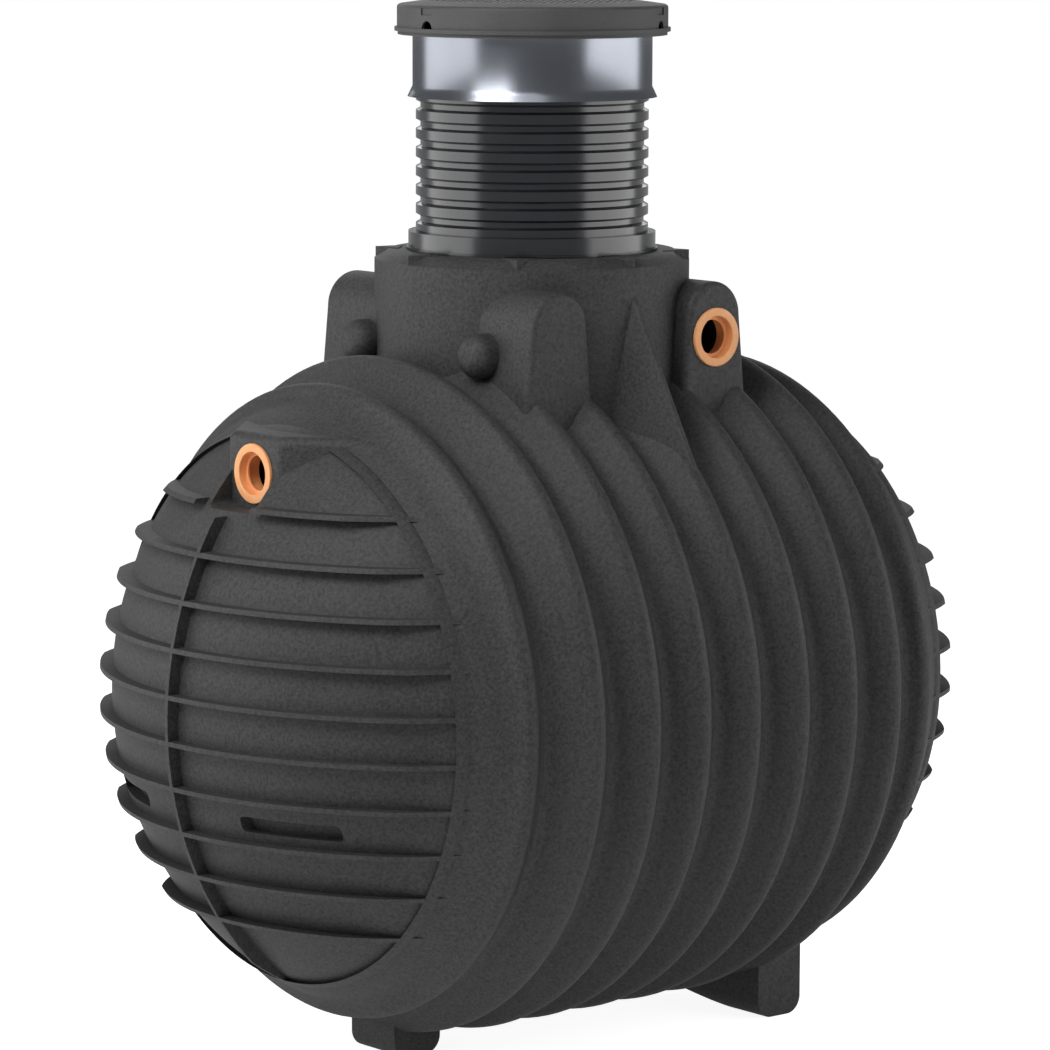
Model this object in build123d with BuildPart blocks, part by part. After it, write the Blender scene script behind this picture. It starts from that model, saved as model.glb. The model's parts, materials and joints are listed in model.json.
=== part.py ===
"""Underground cesspool tank: ribbed barrel, dished ends, neck, telescopic shaft and cover."""
from build123d import *
from math import asin, cos, radians, sin, sqrt, tan
import os

os.makedirs("parts", exist_ok=True)

# Barrel, whose axis lies along X above the ground at Z = 0
body_wall = 12.0
crest_radius = 960.0
ground_clearance = 58.0
crest_pitch = 180.0
crest_count = 7
outer_crest_drop = 15.0
flank_angle = 50.0
crest_round = 30.0
valley_round = 38.0

# Dished ends and the bead round each one
bead_drop = 74.0
bead_round = 31.0
bead_half_width = 38.5
dish_radius = 966.0
dish_reach = 1238.0

# Ribs on the dished ends
level_rib_count = 10
level_rib_pitch = 126.0
level_rib_middle = 7.0
rib_height = 35.0
rib_thickness = 13.0
rib_end_radius = 787.0
hoop_rib_radius = 768.0
rib_taper_lead = 110.0

# Hand slots in the dished ends
slot_height = -252.0
slot_offset = 355.0
slot_length = 288.0
slot_width = 43.0
slot_corner = 14.0
slot_depth = 34.0

# Neck on top of the barrel
neck_radius = 443.5
neck_wall = 14.0
neck_rise = 230.0
neck_shoulder_rise = 25.0
neck_top_radius = 403.0
neck_opening_radius = 300.0
wedge_count = 8
wedge_width = 100.0
wedge_rise = 3.0
wedge_inner_radius = 372.0

# Pipe seals for a pipe of 110 mm
seal_flange_radius = 82.0
seal_flange_thickness = 8.0
seal_socket_radius = 58.5
seal_wall = 5.0
seal_depth = 60.0
lip_hole_radius = 48.0
lip_depth = 15.0
lip_thickness = 5.0
seal_edge_round = 3.0

# Pipe bosses beside the neck
side_boss_offset = 281.0
side_boss_face = 463.0
side_boss_half_width = 97.0
side_boss_foot_half_width = 126.0
side_boss_sink = 220.0
side_boss_round = 18.0
side_seal_rise = 24.0
arch_over_seal = 58.0
knob_radius = 62.0
knob_reach = 77.0
knob_under_seal = 27.0
knob_setback = 265.0
knob_round = 45.0

# Pipe bosses on the dished ends
end_boss_setback = 263.0
end_boss_half_width = 112.0
end_boss_length = 205.0
end_boss_back_half_width = 325.0
end_boss_over_seal = 109.0
end_boss_under_seal = 108.0
end_boss_round = 28.0
end_seal_height = 653.0
seat_corner = 20.0

# Fins between neck and barrel
fin_face_angle = 24.0
fin_edge_round = 10.0
fin_bite = 8.0
fin_foot_angle = 29.8
fin_depth = 320.0
fin_length = 1000.0

# Feet
foot_width = 163.0
foot_round = 50.0
foot_height = 330.0
rear_foot_start = 541.0
rear_foot_reach = 384.0
rear_foot_inner = 40.0
rear_foot_pad = 130.0
rear_foot_rise = 36.0
front_foot_start = -570.0
front_foot_reach = 97.0

# Shaft tube and the socket ring it stands in
tube_radius = 327.0
tube_wall = 6.0
tube_length = 475.0
groove_count = 7
groove_pitch = 52.8
groove_depth = 12.7
groove_width = 27.0
first_groove_rise = 88.6
socket_flange_radius = 355.0
socket_flange_thickness = 8.0
socket_radius = 348.0
socket_height = 53.0

# Telescopic sleeve and its gasket
sleeve_radius = 336.4
sleeve_wall = 6.0
sleeve_overlap = 46.0
sleeve_length = 173.0
skirt_height = 30.0
skirt_radius = 350.5
gasket_inset = 8.0
gasket_height = 18.0

# Cover frame and lid
frame_radius = 378.0
frame_flange_thickness = 10.0
frame_collar_depth = 40.0
frame_collar_wall = 6.0
lid_lip_radius = 387.0
lid_lip_thickness = 11.0
lid_radius = 380.0
lid_side_height = 63.0
lid_crown_rise = 11.0
lid_crown_radius = 300.0
lid_crown_round = 120.0
lid_wall = 9.0
lid_edge_round = 11.0
notch_count = 3
notch_phase = 60.0
notch_arch_radius = 22.0
notch_depth = 14.0
notch_window_width = 50.0
notch_window_height = 20.0
notch_window_depth = 5.0

# Places worked out from the dimensions above, heights taken from the barrel axis
axis_height = crest_radius + ground_clearance
bead_radius = crest_radius - bead_drop
rib_taper_reach = dish_reach + rib_taper_lead
end_boss_face = dish_reach - end_boss_setback
end_boss_back = end_boss_face - end_boss_length
end_boss_top = end_seal_height + end_boss_over_seal
end_boss_bottom = end_seal_height - end_boss_under_seal
side_boss_foot = crest_radius - side_boss_sink
side_seal_height = crest_radius + side_seal_rise
side_boss_arch_height = side_seal_height + arch_over_seal
knob_height = side_seal_height - knob_under_seal
neck_shoulder = crest_radius + neck_rise
neck_top = neck_shoulder + neck_shoulder_rise
socket_top = neck_top + socket_height
first_groove = neck_top + first_groove_rise
tube_top = neck_top + tube_length
sleeve_bottom = tube_top - sleeve_overlap
sleeve_top = sleeve_bottom + sleeve_length
gasket_bottom = sleeve_bottom + gasket_inset
frame_top = sleeve_top + frame_flange_thickness
lid_lip_top = frame_top + lid_lip_thickness
lid_shoulder = lid_lip_top + lid_side_height
lid_crown = lid_shoulder + lid_crown_rise
flank = radians(flank_angle)
dish_centre = dish_reach - dish_radius
crest_half_count = crest_count // 2
bead_place = crest_pitch * (crest_half_count + 1)
body_plane = Plane((0, 0, axis_height), x_dir=(1, 0, 0), z_dir=(0, -1, 0))
body_axis = Axis((0, 0, axis_height), (1, 0, 0))


def above(height):
    """Height over the ground of a height given over the barrel axis."""
    return axis_height + height


def sharp_tip(radius, rounding):
    """Radius of the sharp corner whose rounding ends at the given radius."""
    return radius + rounding * (1 / cos(flank) - 1)


def wave_corners():
    """Corners of the ribbed outline from the middle crest to the dish: place, radius, rounding."""
    crests = []
    for i in range(crest_half_count + 1):
        drop = outer_crest_drop if i == crest_half_count else 0
        crests.append((i * crest_pitch, sharp_tip(crest_radius - drop, crest_round), crest_round))
    crests.append((bead_place, sharp_tip(bead_radius, bead_round), bead_round))
    corners = []
    for here, after in zip(crests, crests[1:]):
        run = (after[0] - here[0]) / 2 + (here[1] - after[1]) / (2 * tan(flank))
        corners.append(here)
        corners.append((here[0] + run, here[1] - run * tan(flank), valley_round))
    corners.append(crests[-1])
    return corners


half_wave = wave_corners()
joint_place = half_wave[-2][0]
dish_edge = bead_place + bead_half_width
dish_edge_radius = sqrt(dish_radius**2 - (dish_edge - dish_centre) ** 2)
dish_half_angle = asin(dish_edge_radius / dish_radius) / 2


# Outline of the barrel and both ends, filled from a little below the axis
wave = [(-x, r, rounding) for x, r, rounding in reversed(half_wave[1:])] + half_wave
outline_base = -2 * body_wall
with BuildSketch() as body_outline:
    with BuildLine():
        FilletPolyline(
            (-dish_edge, dish_edge_radius),
            *[(x, r) for x, r, _ in wave],
            (dish_edge, dish_edge_radius),
            radius=[rounding for _, _, rounding in wave],
        )
        for side in (-1, 1):
            ThreePointArc(
                (side * dish_edge, dish_edge_radius),
                (
                    side * (dish_centre + dish_radius * cos(dish_half_angle)),
                    dish_radius * sin(dish_half_angle),
                ),
                (side * dish_reach, 0),
            )
        Polyline(
            (-dish_reach, 0),
            (-dish_reach, outline_base),
            (dish_reach, outline_base),
            (dish_reach, 0),
        )
    make_face()


def keep_span(start, end):
    """Keep the part of a body sketch between two places along the axis, above the axis."""
    with Locations(((start + end) / 2, crest_radius)):
        Rectangle(abs(end - start), 2 * crest_radius, mode=Mode.INTERSECT)


def save(builder, name):
    """Label a finished piece and write it."""
    builder.part.label = name
    export_step(builder.part, f"parts/{name}.step")


# Filled barrel and ends, to seat what stands on them
with BuildPart() as body_form:
    with BuildSketch(body_plane):
        add(body_outline.sketch)
        keep_span(-2 * dish_reach, 2 * dish_reach)
    revolve(axis=body_axis)

# Barrel shell, open under the neck
with BuildPart() as barrel_shell:
    with BuildSketch(body_plane):
        add(body_outline.sketch)
        offset(amount=-body_wall, mode=Mode.SUBTRACT)
        keep_span(-joint_place, joint_place)
    revolve(axis=body_axis)
    with BuildSketch(Plane.XY.offset(axis_height)):
        Circle(neck_radius - neck_wall)
    extrude(amount=neck_top, mode=Mode.SUBTRACT)
save(barrel_shell, "barrel_shell")


def make_boss_saddle(side, inset):
    """Filled form of an end boss, its walls and edges drawn in by an inset."""
    with BuildPart() as saddle:
        with BuildSketch(Plane.XY.offset(above(end_boss_bottom))):
            with BuildLine():
                Polyline(
                    (side * end_boss_face, -end_boss_half_width),
                    (side * end_boss_face, end_boss_half_width),
                    (side * end_boss_back, end_boss_back_half_width),
                    (side * end_boss_back, -end_boss_back_half_width),
                    close=True,
                )
            make_face()
            if inset:
                offset(amount=-inset, kind=Kind.INTERSECTION, mode=Mode.REPLACE)
        extrude(amount=end_boss_top - end_boss_bottom - inset)
        front_edges = saddle.edges().filter_by(Axis.Z).sort_by(Axis.X)
        front_edges = front_edges[:2] if side < 0 else front_edges[-2:]
        fillet(front_edges, end_boss_round - inset)
        top_edges = saddle.faces().sort_by(Axis.Z)[-1].edges()
        back = side * (end_boss_back + inset)
        fillet([e for e in top_edges if abs(e.center().X - back) > 1], end_boss_round - inset)
    return saddle


def make_seat_column(side, inset, start):
    """Column through an end as wide and high as its boss, drawn in by an inset, outwards from a place."""
    with BuildPart() as column:
        with BuildSketch(Plane.YZ.offset(side * start)):
            with Locations((0, above((end_boss_top + end_boss_bottom) / 2))):
                RectangleRounded(
                    2 * (end_boss_half_width - inset),
                    end_boss_top - end_boss_bottom - 2 * inset,
                    seat_corner + body_wall - inset,
                )
        extrude(amount=side * (dish_reach + rib_height))
    return column


def make_end_ribs(side, saddle):
    """Level, upright and hoop ribs on a dished end, tapered out towards its rim."""
    first_rib = level_rib_middle - level_rib_pitch * (level_rib_count - 1) / 2
    rib_end = dish_centre + sqrt(dish_radius**2 - rib_end_radius**2)
    gap = rib_taper_reach - rib_end
    taper_radius = (gap**2 + rib_end_radius**2) / (2 * gap)
    taper_centre = rib_taper_reach - taper_radius
    with BuildPart() as ribs:
        with BuildSketch(Plane.YZ.offset(side * dish_centre)):
            for i in range(level_rib_count):
                with Locations((0, above(first_rib + i * level_rib_pitch))):
                    Rectangle(2 * rib_end_radius, rib_thickness)
            with Locations((0, axis_height)):
                Rectangle(rib_thickness, 2 * hoop_rib_radius)
                Circle(rib_end_radius, mode=Mode.INTERSECT)
            with Locations((0, above(end_boss_top))):
                width = 2 * (end_boss_half_width + rib_thickness)
                Rectangle(width, 2 * (end_boss_top - end_boss_bottom), mode=Mode.SUBTRACT)
        extrude(amount=side * dish_reach)
        with BuildSketch(Plane.YZ.offset(side * dish_centre)):
            with Locations((0, axis_height)):
                Circle(hoop_rib_radius + rib_thickness / 2)
                Circle(hoop_rib_radius - rib_thickness / 2, mode=Mode.SUBTRACT)
        extrude(amount=side * dish_reach)
        with Locations((side * dish_centre, 0, axis_height)):
            Sphere(dish_radius + rib_height, mode=Mode.INTERSECT)
            Sphere(dish_radius - body_wall / 2, mode=Mode.SUBTRACT)
        with Locations((side * taper_centre, 0, axis_height)):
            Sphere(taper_radius, mode=Mode.INTERSECT)
        add(saddle.part, mode=Mode.SUBTRACT)
    return ribs


def make_slots(side, margin, depth):
    """Pads of two hand slots, widened by a margin, down to a depth under the dish."""
    with BuildPart() as slots:
        with BuildSketch(Plane.YZ.offset(side * dish_centre)):
            for y in (-slot_offset, slot_offset):
                with Locations((y, above(slot_height))):
                    RectangleRounded(
                        slot_length + 2 * margin, slot_width + 2 * margin, slot_corner + margin
                    )
        extrude(amount=side * dish_reach)
        with Locations((side * dish_centre, 0, axis_height)):
            Sphere(dish_radius - depth, mode=Mode.SUBTRACT)
    return slots


def make_end(side, saddle):
    """One dished end with its bead, ribs, hand slots and the opening for its boss."""
    ribs = make_end_ribs(side, saddle)
    pads = make_slots(side, body_wall, slot_depth + body_wall)
    pockets = make_slots(side, 0, slot_depth)
    opening = make_seat_column(side, 0, dish_centre)
    with BuildPart() as pad_layer:
        add(pads.part)
        with Locations((side * dish_centre, 0, axis_height)):
            Sphere(dish_radius, mode=Mode.INTERSECT)
    with BuildPart() as end:
        with BuildSketch(body_plane):
            add(body_outline.sketch)
            offset(amount=-body_wall, mode=Mode.SUBTRACT)
            keep_span(side * joint_place, side * 2 * dish_reach)
        revolve(axis=body_axis)
        add(ribs.part)
        add(pad_layer.part)
        add(pockets.part, mode=Mode.SUBTRACT)
        add(opening.part, mode=Mode.SUBTRACT)
    return end


def make_end_boss(side, saddle, bored):
    """Hollow boss on a dished end, with a flat seat for the seal let into the dish."""
    hollow = make_boss_saddle(side, body_wall)
    tray = make_seat_column(side, 0, end_boss_face - body_wall)
    niche = make_seat_column(side, body_wall, end_boss_face)
    with BuildPart() as bore:
        with BuildSketch(Plane.YZ.offset(side * dish_centre)):
            with Locations((0, above(end_seal_height))):
                Circle(seal_socket_radius + seal_wall)
        extrude(amount=side * dish_reach)
    with BuildPart() as seat:
        add(body_form.part)
        add(tray.part, mode=Mode.INTERSECT)
    with BuildPart() as boss:
        add(saddle.part)
        add(hollow.part, mode=Mode.SUBTRACT)
        add(body_form.part, mode=Mode.SUBTRACT)
        add(seat.part)
        add(niche.part, mode=Mode.SUBTRACT)
        if bored:
            add(bore.part, mode=Mode.SUBTRACT)
    return boss


for side, place in ((-1, "front"), (1, "rear")):
    saddle = make_boss_saddle(side, 0)
    save(make_end(side, saddle), f"{place}_end")
    save(make_end_boss(side, saddle, side < 0), f"{place}_end_boss")

# Filled neck, to seat the bosses and fins round it
with BuildPart() as neck_form:
    with BuildSketch(Plane.XY.offset(above(side_boss_foot))):
        Circle(neck_radius)
    extrude(amount=frame_top - side_boss_foot)


def make_side_boss_form(x_side, y_side, inset):
    """Filled arched form of a boss beside the neck, drawn in by an inset."""
    middle = x_side * side_boss_offset
    half = side_boss_half_width - inset
    foot = side_boss_foot_half_width - inset
    reach = side_boss_face - inset
    with BuildPart() as form:
        with BuildSketch(Plane.XZ.offset(-y_side * reach)):
            with BuildLine():
                Line((middle + foot, above(side_boss_foot)), (middle - foot, above(side_boss_foot)))
                Line((middle - foot, above(side_boss_foot)), (middle - half, above(side_boss_arch_height)))
                ThreePointArc(
                    (middle - half, above(side_boss_arch_height)),
                    (middle, above(side_boss_arch_height + half)),
                    (middle + half, above(side_boss_arch_height)),
                )
                Line((middle + half, above(side_boss_arch_height)), (middle + foot, above(side_boss_foot)))
            make_face()
        extrude(amount=y_side * reach)
        front = form.faces().sort_by(Axis.Y)[-1 if y_side > 0 else 0]
        fillet(front.edges().sort_by(Axis.Z)[1:], side_boss_round - inset)
    return form


def make_side_boss(x_side, y_side, hollow, bored):
    """Hollow arched boss beside the neck, with its round knob and, if bored, a pipe hole."""
    form = make_side_boss_form(x_side, y_side, 0)
    knob_start = side_boss_offset
    knob_end = side_boss_offset + side_boss_half_width + knob_reach
    with BuildPart() as knob:
        with BuildSketch(Plane.YZ.offset(x_side * knob_start)):
            with Locations((y_side * knob_setback, above(knob_height))):
                Circle(knob_radius)
        extrude(amount=x_side * (knob_end - knob_start))
        rim = knob.faces().sort_by(Axis.X)[-1 if x_side > 0 else 0]
        fillet(rim.edges(), knob_round)
    with BuildPart() as boss:
        add(form.part)
        add(knob.part)
        add(hollow.part, mode=Mode.SUBTRACT)
        add(body_form.part, mode=Mode.SUBTRACT)
        add(neck_form.part, mode=Mode.SUBTRACT)
        if bored:
            with BuildSketch(Plane.XZ.offset(-y_side * side_boss_face)):
                with Locations((x_side * side_boss_offset, above(side_seal_height))):
                    Circle(seal_socket_radius + seal_wall)
            extrude(amount=y_side * 2 * body_wall, mode=Mode.SUBTRACT)
    return boss


side_boss_hollows = []
for x_side, end_name in ((-1, "front"), (1, "rear")):
    for y_side, side_name in ((-1, "right"), (1, "left")):
        hollow = make_side_boss_form(x_side, y_side, body_wall)
        side_boss_hollows.append(hollow)
        bored = x_side > 0 and y_side < 0
        save(make_side_boss(x_side, y_side, hollow, bored), f"{end_name}_{side_name}_boss")

# Neck with its sloping shoulder and the wedges on it
with BuildPart() as neck:
    with BuildSketch(Plane.XZ):
        with BuildLine():
            Polyline(
                (neck_radius, above(side_boss_foot)),
                (neck_radius, above(neck_shoulder)),
                (neck_top_radius, above(neck_top)),
                (neck_opening_radius, above(neck_top)),
                (neck_opening_radius, above(neck_top - neck_wall)),
                (neck_top_radius - neck_wall / 2, above(neck_top - neck_wall)),
                (neck_radius - neck_wall, above(neck_shoulder - neck_wall / 2)),
                (neck_radius - neck_wall, above(side_boss_foot)),
                close=True,
            )
        make_face()
    revolve(axis=Axis.Z)
    wedge_side = sqrt((wedge_width / 2) ** 2 + (neck_radius - wedge_inner_radius) ** 2)
    with BuildSketch(Plane.XY.offset(above(neck_shoulder - neck_wall / 2))):
        with PolarLocations(wedge_inner_radius, wedge_count):
            Triangle(
                a=wedge_width,
                b=wedge_side,
                c=wedge_side,
                rotation=-90,
                align=(Align.CENTER, Align.MIN),
            )
    extrude(amount=neck_top - neck_shoulder + neck_wall / 2 + wedge_rise)
    add(body_form.part, mode=Mode.SUBTRACT)
    for hollow in side_boss_hollows:
        add(hollow.part, mode=Mode.SUBTRACT)
save(neck, "neck")


def make_fin(y_side):
    """Ridge from the neck down to the middle crest, along a line tangent to the barrel."""
    turn = radians(fin_foot_angle)
    foot = (0, y_side * (crest_radius - fin_bite) * cos(turn), above((crest_radius - fin_bite) * sin(turn)))
    uphill = (0, -y_side * sin(turn), cos(turn))
    half_width = fin_depth * tan(radians(fin_face_angle))
    with BuildPart() as fin:
        with BuildSketch(Plane(foot, x_dir=(y_side, 0, 0), z_dir=uphill)) as ridge:
            with BuildLine():
                Polyline((0, 0), (half_width, -fin_depth), (-half_width, -fin_depth), close=True)
            make_face()
            fillet(ridge.vertices().sort_by(Axis.Y)[-1], fin_edge_round)
        extrude(amount=fin_length)
        add(body_form.part, mode=Mode.SUBTRACT)
        add(neck_form.part, mode=Mode.SUBTRACT)
    return fin


for y_side, side_name in ((-1, "right"), (1, "left")):
    save(make_fin(y_side), f"{side_name}_fin")


# Rear feet, one on each side, and the single front foot on the centre line
for y_side, side_name in ((-1, "right"), (1, "left")):
    outer = y_side * rear_foot_reach
    inner = y_side * rear_foot_inner
    level_end = y_side * (rear_foot_reach - rear_foot_pad)
    with BuildPart() as rear_foot:
        with BuildSketch(Plane.XZ.offset(-outer)) as tab:
            with Locations((rear_foot_start + foot_width / 2, foot_height / 2)):
                Rectangle(foot_width, foot_height)
            fillet(tab.vertices().sort_by(Axis.Y)[:2], foot_round)
        extrude(amount=outer - inner)
        with BuildSketch(Plane.YZ.offset(rear_foot_start)):
            with BuildLine():
                Polyline((level_end, 0), (inner, rear_foot_rise), (inner, 0), close=True)
            make_face()
        extrude(amount=foot_width, mode=Mode.SUBTRACT)
        add(body_form.part, mode=Mode.SUBTRACT)
    save(rear_foot, f"rear_{side_name}_foot")

with BuildPart() as front_foot:
    with BuildSketch(Plane.XZ.offset(front_foot_reach)) as tab:
        with Locations((front_foot_start + foot_width / 2, foot_height / 2)):
            Rectangle(foot_width, foot_height)
        fillet(tab.vertices().sort_by(Axis.Y)[:2], foot_round)
    extrude(amount=-2 * front_foot_reach)
    add(body_form.part, mode=Mode.SUBTRACT)
save(front_foot, "front_foot")


def make_seal(name, centre, outward, across):
    """Pipe seal with a flange, a socket wall and a lip, on the face of a boss."""
    with BuildPart() as seal:
        with BuildSketch(Plane(centre, x_dir=outward, z_dir=across)):
            with Locations((seal_flange_thickness / 2, (seal_socket_radius + seal_flange_radius) / 2)):
                Rectangle(seal_flange_thickness, seal_flange_radius - seal_socket_radius)
            with Locations((-seal_depth / 2, seal_socket_radius + seal_wall / 2)):
                Rectangle(seal_depth, seal_wall)
            with Locations((-lip_depth - lip_thickness / 2, (lip_hole_radius + seal_socket_radius) / 2)):
                Rectangle(lip_thickness, seal_socket_radius - lip_hole_radius)
        revolve(axis=Axis(centre, outward))
        front_rims = seal.edges().sort_by(Axis(centre, outward))[-2:]
        fillet(front_rims, seal_edge_round)
    save(seal, name)


make_seal("inlet_seal", (-end_boss_face, 0, above(end_seal_height)), (-1, 0, 0), (0, 1, 0))
make_seal(
    "outlet_seal",
    (side_boss_offset, -side_boss_face, above(side_seal_height)),
    (0, -1, 0),
    (1, 0, 0),
)

# Socket ring that the shaft tube stands in
with BuildPart() as shaft_socket:
    with BuildSketch(Plane.XZ):
        with BuildLine():
            Polyline(
                (neck_opening_radius, above(neck_top)),
                (socket_flange_radius, above(neck_top)),
                (socket_flange_radius, above(neck_top + socket_flange_thickness)),
                (socket_radius, above(neck_top + socket_flange_thickness)),
                (socket_radius, above(socket_top)),
                (tube_radius, above(socket_top)),
                (tube_radius, above(neck_top + socket_flange_thickness)),
                (neck_opening_radius, above(neck_top + socket_flange_thickness)),
                close=True,
            )
        make_face()
    revolve(axis=Axis.Z)
save(shaft_socket, "shaft_socket")


def tube_side(radius):
    """Corners of one face of the grooved tube, from its foot to its top."""
    corners = [(radius, above(neck_top + socket_flange_thickness))]
    for i in range(groove_count):
        middle = first_groove + i * groove_pitch
        for offset_up, drop in ((-0.5, 0), (-0.25, 1), (0.25, 1), (0.5, 0)):
            place = above(middle + offset_up * groove_width)
            corners.append((radius - drop * groove_depth, place))
    corners.append((radius, above(tube_top)))
    return corners


# Grooved shaft tube
with BuildPart() as shaft_tube:
    with BuildSketch(Plane.XZ):
        with BuildLine():
            Polyline(*tube_side(tube_radius), *reversed(tube_side(tube_radius - tube_wall)), close=True)
        make_face()
    revolve(axis=Axis.Z)
save(shaft_tube, "shaft_tube")

# Gasket between the tube and the sleeve over it
with BuildPart() as sleeve_gasket:
    with BuildSketch(Plane.XY.offset(above(gasket_bottom))):
        Circle(sleeve_radius - sleeve_wall)
        Circle(tube_radius, mode=Mode.SUBTRACT)
    extrude(amount=gasket_height)
save(sleeve_gasket, "sleeve_gasket")

# Telescopic sleeve with its flared skirt
with BuildPart() as sleeve:
    with BuildSketch(Plane.XZ):
        with BuildLine():
            Polyline(
                (skirt_radius, above(sleeve_bottom)),
                (sleeve_radius, above(sleeve_bottom + skirt_height)),
                (sleeve_radius, above(sleeve_top)),
                (sleeve_radius - sleeve_wall, above(sleeve_top)),
                (sleeve_radius - sleeve_wall, above(sleeve_bottom)),
                close=True,
            )
        make_face()
    revolve(axis=Axis.Z)
save(sleeve, "sleeve")

# Cover frame, with a flange on the sleeve and a collar inside it
with BuildPart() as cover_frame:
    with BuildSketch(Plane.XZ):
        with BuildLine():
            inner = sleeve_radius - sleeve_wall - frame_collar_wall
            Polyline(
                (inner, above(sleeve_top - frame_collar_depth)),
                (inner + frame_collar_wall, above(sleeve_top - frame_collar_depth)),
                (inner + frame_collar_wall, above(sleeve_top)),
                (frame_radius, above(sleeve_top)),
                (frame_radius, above(frame_top)),
                (inner, above(frame_top)),
                close=True,
            )
        make_face()
    revolve(axis=Axis.Z)
save(cover_frame, "cover_frame")

# Hollow lid with a lip, a rounded shoulder, a low crown and notches round its side
with BuildPart() as cover_lid:
    with BuildSketch(Plane.XZ):
        with BuildLine():
            FilletPolyline(
                (lid_radius, above(lid_lip_top)),
                (lid_radius, above(lid_shoulder)),
                (lid_crown_radius, above(lid_crown)),
                (0, above(lid_crown)),
                radius=[lid_edge_round, lid_crown_round],
            )
            Polyline(
                (0, above(lid_crown)),
                (0, above(frame_top)),
                (lid_lip_radius, above(frame_top)),
                (lid_lip_radius, above(lid_lip_top)),
                (lid_radius, above(lid_lip_top)),
            )
        make_face()
    revolve(axis=Axis.Z)
    with BuildSketch(Plane.XY.offset(above(frame_top))):
        Circle(lid_radius - lid_wall)
    extrude(amount=lid_shoulder - lid_wall - frame_top, mode=Mode.SUBTRACT)
    for i in range(notch_count):
        turn = radians(notch_phase + i * 360 / notch_count)
        rim_plane = Plane((0, 0, 0), x_dir=(-sin(turn), cos(turn), 0), z_dir=(cos(turn), sin(turn), 0))
        with BuildSketch(rim_plane.offset(lid_radius - notch_depth)):
            with Locations((0, above(lid_lip_top))):
                Circle(notch_arch_radius)
                Rectangle(
                    2 * notch_arch_radius,
                    notch_arch_radius,
                    align=(Align.CENTER, Align.MAX),
                    mode=Mode.SUBTRACT,
                )
        extrude(amount=notch_depth + lid_wall, mode=Mode.SUBTRACT)
        with BuildSketch(rim_plane.offset(lid_radius - notch_window_depth)):
            with Locations((0, above(lid_shoulder - lid_edge_round / 2))):
                Rectangle(notch_window_width, notch_window_height, align=(Align.CENTER, Align.MAX))
        extrude(amount=notch_depth + lid_wall, mode=Mode.SUBTRACT)
save(cover_lid, "cover_lid")
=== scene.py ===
"""Cesspool tank: finishes, lid studs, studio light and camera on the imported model."""
import bmesh
import bpy
import json
from math import cos, pi, radians, sin
from mathutils import Matrix, Vector


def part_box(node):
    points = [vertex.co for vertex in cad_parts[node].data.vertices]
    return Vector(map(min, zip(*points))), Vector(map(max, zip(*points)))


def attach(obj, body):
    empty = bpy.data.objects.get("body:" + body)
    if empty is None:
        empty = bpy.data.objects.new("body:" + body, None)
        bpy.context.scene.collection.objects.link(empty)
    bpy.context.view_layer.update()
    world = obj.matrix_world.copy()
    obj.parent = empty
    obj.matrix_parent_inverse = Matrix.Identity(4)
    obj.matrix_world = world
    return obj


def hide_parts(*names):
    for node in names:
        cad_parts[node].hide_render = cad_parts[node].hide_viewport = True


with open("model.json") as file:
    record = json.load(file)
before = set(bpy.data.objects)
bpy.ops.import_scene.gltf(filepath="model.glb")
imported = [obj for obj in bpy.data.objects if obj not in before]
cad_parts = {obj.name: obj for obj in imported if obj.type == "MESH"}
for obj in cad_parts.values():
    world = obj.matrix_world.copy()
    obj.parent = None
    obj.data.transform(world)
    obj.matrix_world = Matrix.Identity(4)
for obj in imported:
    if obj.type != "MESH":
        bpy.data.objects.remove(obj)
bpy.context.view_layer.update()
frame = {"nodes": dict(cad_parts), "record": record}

# Camera of the photograph, fitted to the crests of the barrel
image_width = 1050
focal_pixels = 4858.6
sensor_mm = 36.0
camera_place = Vector((-8.7456, -10.5005, 3.3297))
camera_yaw = radians(-39.72)
camera_drop = radians(7.844)
camera_roll = radians(0.186)
farthest_seen = 200

# Smoothing of the CAD pieces: points this near in metres are one, and sharper edges stay edges
merge_distance = 0.00002
sharp_angle = radians(34)

# Studs of the lid, in metres
stud_pitch = 0.026
stud_radius = 0.0062
stud_top_radius = stud_radius * 0.7
stud_height = 0.0013
stud_sunk = stud_height * 0.1
stud_corners = 12
stud_field_radius = 0.292

# Colours as linear light
white = (1.0, 1.0, 1.0)
air_tint = (0.95, 0.98, 1.0)
floor_grey = (0.78, 0.78, 0.78)
floor_pale = (0.82, 0.82, 0.82)
tank_black = (0.006, 0.006, 0.0065)
tank_grey = (0.073, 0.073, 0.074)
tank_scuff = (0.09, 0.09, 0.09)
shaft_black = (0.005, 0.0055, 0.007)
shaft_dust = (0.014, 0.015, 0.019)
sleeve_deep = (0.255, 0.27, 0.305)
sleeve_pale = (0.325, 0.34, 0.38)
cover_black = (0.038, 0.038, 0.039)
cover_grey = (0.08, 0.08, 0.081)
seal_deep = (0.84, 0.34, 0.12)
seal_bright = (0.96, 0.46, 0.19)
seal_rubbed = (0.98, 0.62, 0.36)
gasket_black = (0.012, 0.012, 0.012)
gasket_grey = (0.028, 0.028, 0.028)

# Strength of the surroundings as seen and as light, and of the floor as seen and as light
air_glow = 1.0
air_light = 0.16
floor_glow = 0.9
floor_light = 0.26

# Width of the floor, and height of the point that all lamps face, in metres
floor_width = 120
lamp_aim_height = 1.4

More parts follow.
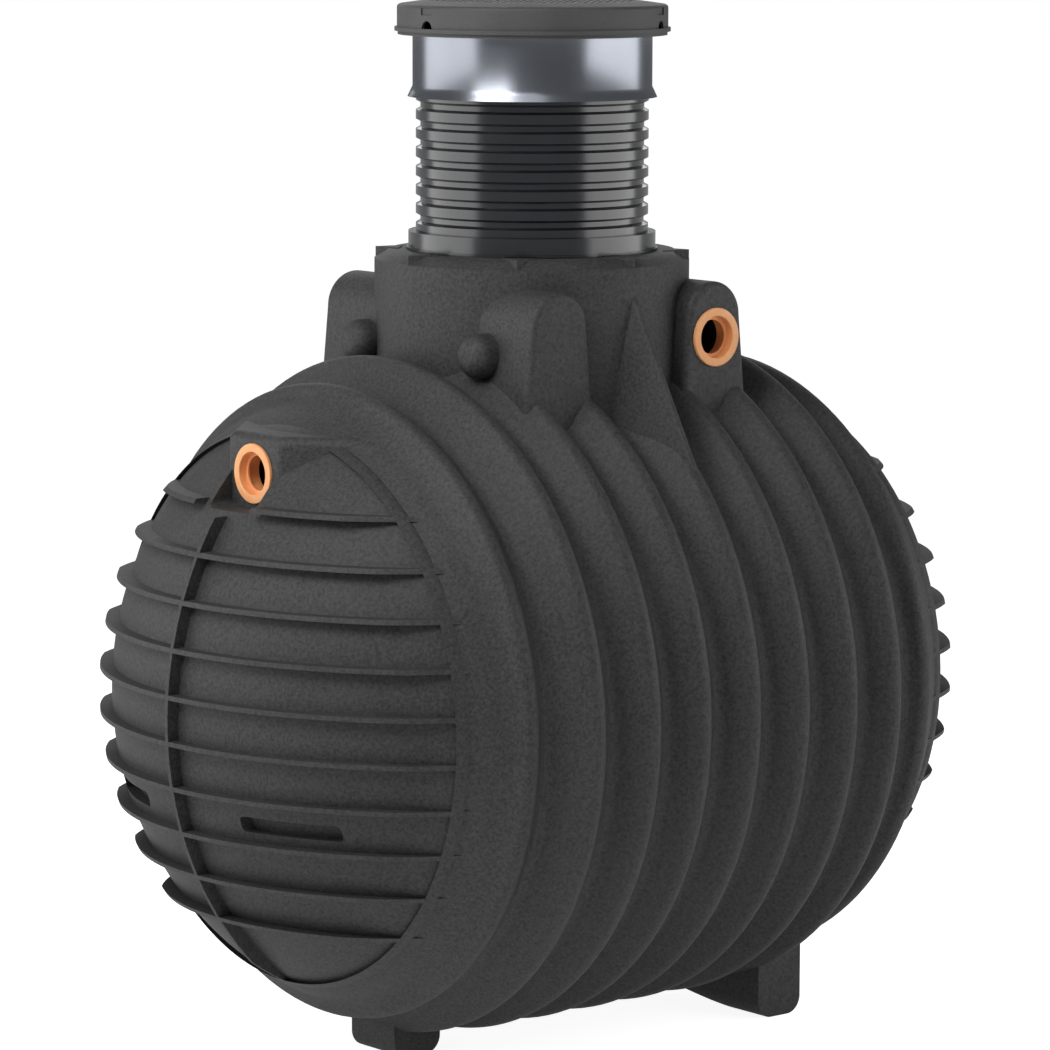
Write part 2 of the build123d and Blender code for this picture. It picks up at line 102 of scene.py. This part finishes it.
# Each lamp's name, its turn to the left of the camera and its lift in degrees, its distance, width
# and height in metres, and its brightness
lamp_panels = (
    ("left_panel", 88, 9, 6.5, 8.5, 3.6, 1.9),
    ("right_panel", -86, 11, 6.5, 8.5, 2.8, 2.1),
    ("top_panel", 25, 62, 5.5, 4.5, 4.0, 1.0),
    ("key_lamp", 40, 40, 7.5, 4.0, 3.0, 6.5),
    ("rear_panel", 175, 30, 7.0, 6.0, 3.0, 1.6),
)


class Wire:
    """A value in a shader that takes part in Python expressions."""

    def __init__(self, recipe, socket):
        self.recipe = recipe
        self.socket = socket

    def math(self, operation, first, second):
        node = self.recipe.node("ShaderNodeMath", {"operation": operation}, {0: first, 1: second})
        return Wire(self.recipe, node.outputs[0])

    def __add__(self, other):
        return self.math("ADD", self, other)

    def __radd__(self, other):
        return self.math("ADD", other, self)

    def __sub__(self, other):
        return self.math("SUBTRACT", self, other)

    def __rsub__(self, other):
        return self.math("SUBTRACT", other, self)

    def __mul__(self, other):
        return self.math("MULTIPLY", self, other)

    def __rmul__(self, other):
        return self.math("MULTIPLY", other, self)


class Nodes:
    """A node tree made by plain calls."""

    def __init__(self, tree):
        self.tree = tree

    def feed(self, socket, value):
        """Join a node's output to a socket, or set the socket to a colour or number."""
        if isinstance(value, Wire):
            value = value.socket
        if isinstance(value, bpy.types.NodeSocket):
            self.tree.links.new(value, socket)
        elif socket.type == "RGBA":
            socket.default_value = (*value, 1.0)
        else:
            socket.default_value = value

    def node(self, kind, settings=None, inputs=None):
        """Node of a type, with its settings made first and its sockets fed after them."""
        made = self.tree.nodes.new(kind)
        for name, value in (settings or {}).items():
            if name == "stops":
                low, high = made.color_ramp.elements
                low.position, high.position = value
            else:
                setattr(made, name, value)
        for name, value in (inputs or {}).items():
            self.feed(made.inputs[name], value)
        return made


class Recipe(Nodes):
    """A material made of nodes, one call for each."""

    def __init__(self, name):
        self.material = bpy.data.materials.new(name)
        self.material.use_nodes = True
        super().__init__(self.material.node_tree)
        self.tree.nodes.clear()

    def place(self):
        """Where a point lies on the object, in metres."""
        return Wire(self, self.node("ShaderNodeTexCoord").outputs["Object"])

    def stretched(self, place, upwards):
        """A place with its height scaled: a small scale draws a pattern out along z."""
        inputs = {"Vector": place, "Scale": (1.0, 1.0, upwards)}
        return Wire(self, self.node("ShaderNodeMapping", {}, inputs).outputs["Vector"])

    def noise(self, place, per_metre, detail, roughness):
        """Cloudy value between 0 and 1, with so many clouds in a metre."""
        inputs = {"Vector": place, "Scale": per_metre, "Detail": detail, "Roughness": roughness}
        return Wire(self, self.node("ShaderNodeTexNoise", {}, inputs).outputs["Fac"])

    def grains(self, place, per_metre):
        """Distance to the nearest of scattered grains."""
        inputs = {"Vector": place, "Scale": per_metre}
        return Wire(self, self.node("ShaderNodeTexVoronoi", {}, inputs).outputs["Distance"])

    def ramp(self, value, low, high):
        """Value raised from 0 to 1 between a low and a high mark."""
        made = self.node("ShaderNodeValToRGB", {"stops": (low, high)}, {"Fac": value})
        return Wire(self, made.outputs["Color"])

    def mixed(self, factor, first, second):
        """Colour between two colours."""
        made = self.node("ShaderNodeMix", {"data_type": "RGBA"}, {0: factor, 6: first, 7: second})
        return Wire(self, made.outputs[2])

    def raised(self, height, strength, distance):
        """Surface normal bumped by a height."""
        inputs = {"Height": height, "Strength": strength, "Distance": distance}
        return Wire(self, self.node("ShaderNodeBump", {}, inputs).outputs["Normal"])

    def surface(self, **inputs):
        """Surface shader with the given sockets."""
        named = {name.replace("_", " "): value for name, value in inputs.items()}
        return self.node("ShaderNodeBsdfPrincipled", {}, named).outputs["BSDF"]

    def show(self, shader):
        """Join a shader to the output and hand over the material."""
        self.node("ShaderNodeOutputMaterial", {}, {"Surface": shader})
        return self.material

    def finish(self, **inputs):
        """Material of one surface shader."""
        return self.show(self.surface(**inputs))


def moulded_tank():
    """Rotomoulded polyethylene: matt, dark grey, with a fine powdery grain."""
    recipe = Recipe("moulded_tank")
    place = recipe.place()
    powder = recipe.noise(place, per_metre=105, detail=3.0, roughness=0.7)
    pores = recipe.ramp(recipe.grains(place, per_metre=190), low=0.05, high=0.5)
    clouds = recipe.noise(place, per_metre=4.5, detail=3.0, roughness=0.55)
    streaks = recipe.noise(recipe.stretched(place, 5.0), per_metre=7, detail=4.0, roughness=0.7)
    scuffs = recipe.ramp(streaks, low=0.58, high=0.78)
    grain = recipe.ramp(powder, low=0.3, high=0.7)
    tone = grain * 0.6 + clouds * 0.28 + pores * 0.12
    colour = recipe.mixed(tone, tank_black, tank_grey)
    colour = recipe.mixed(scuffs * 0.12, colour, tank_scuff)
    relief = powder * 0.7 + pores * 0.3
    return recipe.finish(
        Base_Color=colour,
        Roughness=0.54 + clouds * 0.14 - scuffs * 0.06,
        Normal=recipe.raised(relief, strength=0.35, distance=0.0016),
        Specular_IOR_Level=0.36,
    )


def glossy_shaft():
    """Extruded tube: near black, smooth and shiny, with faint drawn lines along it."""
    recipe = Recipe("glossy_shaft")
    place = recipe.place()
    lines = recipe.noise(recipe.stretched(place, 0.02), per_metre=160, detail=3.0, roughness=0.6)
    dust = recipe.noise(place, per_metre=14, detail=4.0, roughness=0.6)
    colour = recipe.mixed(dust, shaft_black, shaft_dust)
    return recipe.finish(
        Base_Color=colour,
        Roughness=0.15 + lines * 0.08 + dust * 0.05,
        Normal=recipe.raised(lines, strength=0.08, distance=0.0005),
        Specular_IOR_Level=0.72,
        Coat_Weight=0.3,
        Coat_Roughness=0.2,
    )


def satin_sleeve():
    """Sleeve: blue-grey with a satin, almost metallic sheen."""
    recipe = Recipe("satin_sleeve")
    place = recipe.place()
    lines = recipe.noise(recipe.stretched(place, 0.015), per_metre=120, detail=2.0, roughness=0.5)
    clouds = recipe.noise(place, per_metre=6, detail=3.0, roughness=0.5)
    colour = recipe.mixed(clouds, sleeve_deep, sleeve_pale)
    return recipe.finish(
        Base_Color=colour,
        Metallic=0.96,
        Roughness=0.19 + lines * 0.06 + clouds * 0.04,
        Normal=recipe.raised(lines, strength=0.1, distance=0.0004),
    )


def matt_cover():
    """Lid and its frame: dark, matt and slightly pebbled."""
    recipe = Recipe("matt_cover")
    place = recipe.place()
    pebbles = recipe.ramp(recipe.grains(place, per_metre=240), low=0.1, high=0.6)
    clouds = recipe.noise(place, per_metre=9, detail=3.0, roughness=0.5)
    colour = recipe.mixed(clouds * 0.7 + pebbles * 0.3, cover_black, cover_grey)
    return recipe.finish(
        Base_Color=colour,
        Roughness=0.52 + clouds * 0.14,
        Normal=recipe.raised(pebbles, strength=0.35, distance=0.0012),
    )


def orange_seal():
    """Orange rubber, a little dusty where it is rubbed."""
    recipe = Recipe("orange_seal")
    place = recipe.place()
    clouds = recipe.noise(place, per_metre=26, detail=3.0, roughness=0.55)
    wear = recipe.noise(place, per_metre=55, detail=4.0, roughness=0.7)
    rubbed = recipe.ramp(wear, low=0.5, high=0.75)
    colour = recipe.mixed(clouds, seal_deep, seal_bright)
    colour = recipe.mixed(rubbed * 0.3, colour, seal_rubbed)
    return recipe.finish(
        Base_Color=colour,
        Roughness=0.38 + clouds * 0.15,
        Normal=recipe.raised(rubbed, strength=0.12, distance=0.0006),
    )


def black_gasket():
    """Soft black rubber."""
    recipe = Recipe("black_gasket")
    clouds = recipe.noise(recipe.place(), per_metre=60, detail=2.0, roughness=0.5)
    colour = recipe.mixed(clouds, gasket_black, gasket_grey)
    return recipe.finish(Base_Color=colour, Roughness=0.6 + clouds * 0.15)


finishes = {
    "tank_plastic": moulded_tank(),
    "shaft_plastic": glossy_shaft(),
    "sleeve_plastic": satin_sleeve(),
    "cover_plastic": matt_cover(),
    "seal_rubber": orange_seal(),
    "gasket_rubber": black_gasket(),
}
slot_of = {part["node"]: part["material_slot"] for part in frame["record"]["subparts"]}


def own(piece, slot):
    """Put a new piece in the scene, on the tank, with the finish of a slot."""
    bpy.context.scene.collection.objects.link(piece)
    piece.data.materials.clear()
    piece.data.materials.append(finishes[slot])
    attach(piece, "root")


def smooth_skin(node):
    """Merged copy of a CAD piece: round faces shaded smooth, corners kept sharp."""
    mesh = bpy.data.meshes.new(f"{node}_skin")
    sculpt = bmesh.new()
    sculpt.from_mesh(frame["nodes"][node].data)
    bmesh.ops.remove_doubles(sculpt, verts=sculpt.verts, dist=merge_distance)
    for face in sculpt.faces:
        face.smooth = True
    for edge in sculpt.edges:
        edge.smooth = len(edge.link_faces) == 2 and edge.calc_face_angle(0) < sharp_angle
    sculpt.to_mesh(mesh)
    sculpt.free()
    skin = bpy.data.objects.new(f"{node}_skin", mesh)
    own(skin, slot_of[node])
    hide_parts(node)


class Tree(Nodes):
    """A Geometry Nodes tree with named sizes."""

    def __init__(self, name, sizes):
        super().__init__(bpy.data.node_groups.new(name, "GeometryNodeTree"))
        face = self.tree.interface
        face.new_socket("Geometry", in_out="INPUT", socket_type="NodeSocketGeometry")
        face.new_socket("Geometry", in_out="OUTPUT", socket_type="NodeSocketGeometry")
        self.values = {}
        for size, value in sizes.items():
            socket = face.new_socket(size, in_out="INPUT", socket_type="NodeSocketFloat")
            self.values[socket.identifier] = value
        self.entry = self.tree.nodes.new("NodeGroupInput")
        self.exit = self.tree.nodes.new("NodeGroupOutput")

    def size(self, name):
        return self.entry.outputs[name]

    def close(self, instances, material):
        """End the tree in plain geometry with its material."""
        real = self.node("GeometryNodeRealizeInstances", {}, {"Geometry": instances})
        inputs = {"Geometry": real.outputs[0], "Material": material}
        painted = self.node("GeometryNodeSetMaterial", {}, inputs)
        self.feed(self.exit.inputs[0], painted.outputs[0])

    def grow(self, name, slot):
        """Plain piece made by this tree, with its named sizes."""
        carrier = bpy.data.objects.new(f"{name}_source", bpy.data.meshes.new(f"{name}_source"))
        bpy.context.scene.collection.objects.link(carrier)
        modifier = carrier.modifiers.new("grow", "NODES")
        modifier.node_group = self.tree
        for identifier, value in self.values.items():
            modifier[identifier] = value
        graph = bpy.context.evaluated_depsgraph_get()
        mesh = bpy.data.meshes.new_from_object(carrier.evaluated_get(graph), depsgraph=graph)
        bpy.data.objects.remove(carrier)
        own(bpy.data.objects.new(name, mesh), slot)


def lid_studs():
    """Small round studs in a square pattern on the lid's top, within a round field."""
    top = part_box("cover_lid")[1][2]
    sizes = {
        "Pitch": stud_pitch,
        "Radius": stud_radius,
        "Top Radius": stud_top_radius,
        "Height": stud_height,
        "Field": stud_field_radius,
    }
    tree = Tree("lid_studs", sizes)
    # The odd number of studs in a row puts one in the middle
    count = int(2 * stud_field_radius / stud_pitch) | 1
    row = tree.node(
        "ShaderNodeMath", {"operation": "MULTIPLY"}, {0: tree.size("Pitch"), 1: count - 1.0}
    )
    length = row.outputs[0]
    rows = {"Size X": length, "Size Y": length, "Vertices X": count, "Vertices Y": count}
    grid = tree.node("GeometryNodeMeshGrid", {}, rows)
    place = tree.node("GeometryNodeInputPosition")
    reach = tree.node("ShaderNodeVectorMath", {"operation": "LENGTH"}, {0: place.outputs[0]})
    outside = tree.node(
        "FunctionNodeCompare",
        {"data_type": "FLOAT", "operation": "GREATER_THAN"},
        {0: reach.outputs["Value"], 1: tree.size("Field")},
    )
    field = tree.node(
        "GeometryNodeDeleteGeometry",
        {"domain": "POINT"},
        {"Geometry": grid.outputs["Mesh"], "Selection": outside.outputs[0]},
    )
    stud = tree.node(
        "GeometryNodeMeshCone",
        {"fill_type": "NGON"},
        {
            "Vertices": stud_corners,
            "Side Segments": 1,
            "Radius Top": tree.size("Top Radius"),
            "Radius Bottom": tree.size("Radius"),
            "Depth": tree.size("Height"),
        },
    )
    spread = tree.node(
        "GeometryNodeInstanceOnPoints",
        {},
        {"Points": field.outputs[0], "Instance": stud.outputs["Mesh"]},
    )
    raised = tree.node(
        "GeometryNodeTransform",
        {},
        {"Geometry": spread.outputs[0], "Translation": (0.0, 0.0, top - stud_sunk)},
    )
    tree.close(raised.outputs[0], finishes["cover_plastic"])
    tree.grow("lid_studs", "cover_plastic")


def camera_view():
    """Camera at the photograph's place, direction and field; gives its right and its ahead."""
    lens = bpy.data.cameras.new("photo_camera")
    lens.sensor_width = sensor_mm
    lens.sensor_height = sensor_mm
    lens.sensor_fit = "HORIZONTAL"
    lens.lens = focal_pixels / image_width * sensor_mm
    lens.clip_end = farthest_seen
    camera = bpy.data.objects.new("photo_camera", lens)
    bpy.context.scene.collection.objects.link(camera)
    level = cos(camera_drop)
    ahead = Vector((-sin(camera_yaw) * level, cos(camera_yaw) * level, -sin(camera_drop)))
    right = Vector((cos(camera_yaw), sin(camera_yaw), 0.0))
    up = right.cross(ahead)
    upright = Matrix((right, up, -ahead)).transposed()
    camera.matrix_world = (upright @ Matrix.Rotation(camera_roll, 3, "Z")).to_4x4()
    camera.location = camera_place
    bpy.context.scene.camera = camera
    return right, ahead


def seen_or_lighting(nodes, seen, lighting):
    """Shader that shows one face to the camera and another to the light of the room."""
    path = nodes.node("ShaderNodeLightPath")
    inputs = {0: path.outputs["Is Camera Ray"], 1: lighting, 2: seen}
    return nodes.node("ShaderNodeMixShader", {}, inputs).outputs[0]


def studio_air():
    """Surroundings: white to the camera, and a weak cool light to everything else."""
    world = bpy.data.worlds.new("studio_air")
    world.use_nodes = True
    nodes = Nodes(world.node_tree)
    seen = nodes.tree.nodes["Background"]
    nodes.feed(seen.inputs["Color"], white)
    nodes.feed(seen.inputs["Strength"], air_glow)
    lighting = nodes.node("ShaderNodeBackground", {}, {"Color": air_tint, "Strength": air_light})
    both = seen_or_lighting(nodes, seen.outputs[0], lighting.outputs[0])
    nodes.feed(nodes.tree.nodes["World Output"].inputs["Surface"], both)
    bpy.context.scene.world = world


def pale_floor():
    """Floor: faintly clouded, nearly white to the camera and dimmer as a source of light."""
    recipe = Recipe("pale_floor")
    clouds = recipe.noise(recipe.place(), per_metre=0.6, detail=2.0, roughness=0.5)
    colour = recipe.mixed(clouds, floor_grey, floor_pale)
    seen, lighting = (
        recipe.surface(
            Base_Color=colour, Roughness=0.8, Emission_Color=white, Emission_Strength=glow
        )
        for glow in (floor_glow, floor_light)
    )
    return recipe.show(seen_or_lighting(recipe, seen, lighting))


def studio_floor():
    """Wide floor under the tank."""
    bpy.ops.mesh.primitive_plane_add(size=floor_width)
    floor = bpy.context.active_object
    floor.name = "studio_floor"
    floor.data.materials.append(pale_floor())


def studio_lamps(right, ahead):
    """Large soft panels round the tank, placed by the camera's right and ahead."""
    middle = Vector((0.0, 0.0, lamp_aim_height))
    flat_ahead = Vector((ahead.x, ahead.y, 0.0)).normalized()
    for name, turn_degrees, lift_degrees, distance, width, height, brightness in lamp_panels:
        turn = radians(turn_degrees)
        lift = radians(lift_degrees)
        towards = -flat_ahead * cos(turn) - right * sin(turn)
        shift = towards * cos(lift) * distance + Vector((0.0, 0.0, sin(lift) * distance))
        lamp = bpy.data.lights.new(name, "AREA")
        lamp.shape = "RECTANGLE"
        lamp.size = width
        lamp.size_y = height
        lamp.energy = brightness * pi * width * height
        holder = bpy.data.objects.new(name, lamp)
        holder.location = middle + shift
        holder.rotation_euler = (-shift).to_track_quat("-Z", "Y").to_euler()
        bpy.context.scene.collection.objects.link(holder)


for node in frame["nodes"]:
    smooth_skin(node)
lid_studs()
view_right, view_ahead = camera_view()
studio_air()
studio_floor()
studio_lamps(view_right, view_ahead)
bpy.context.scene.view_settings.view_transform = "Standard"
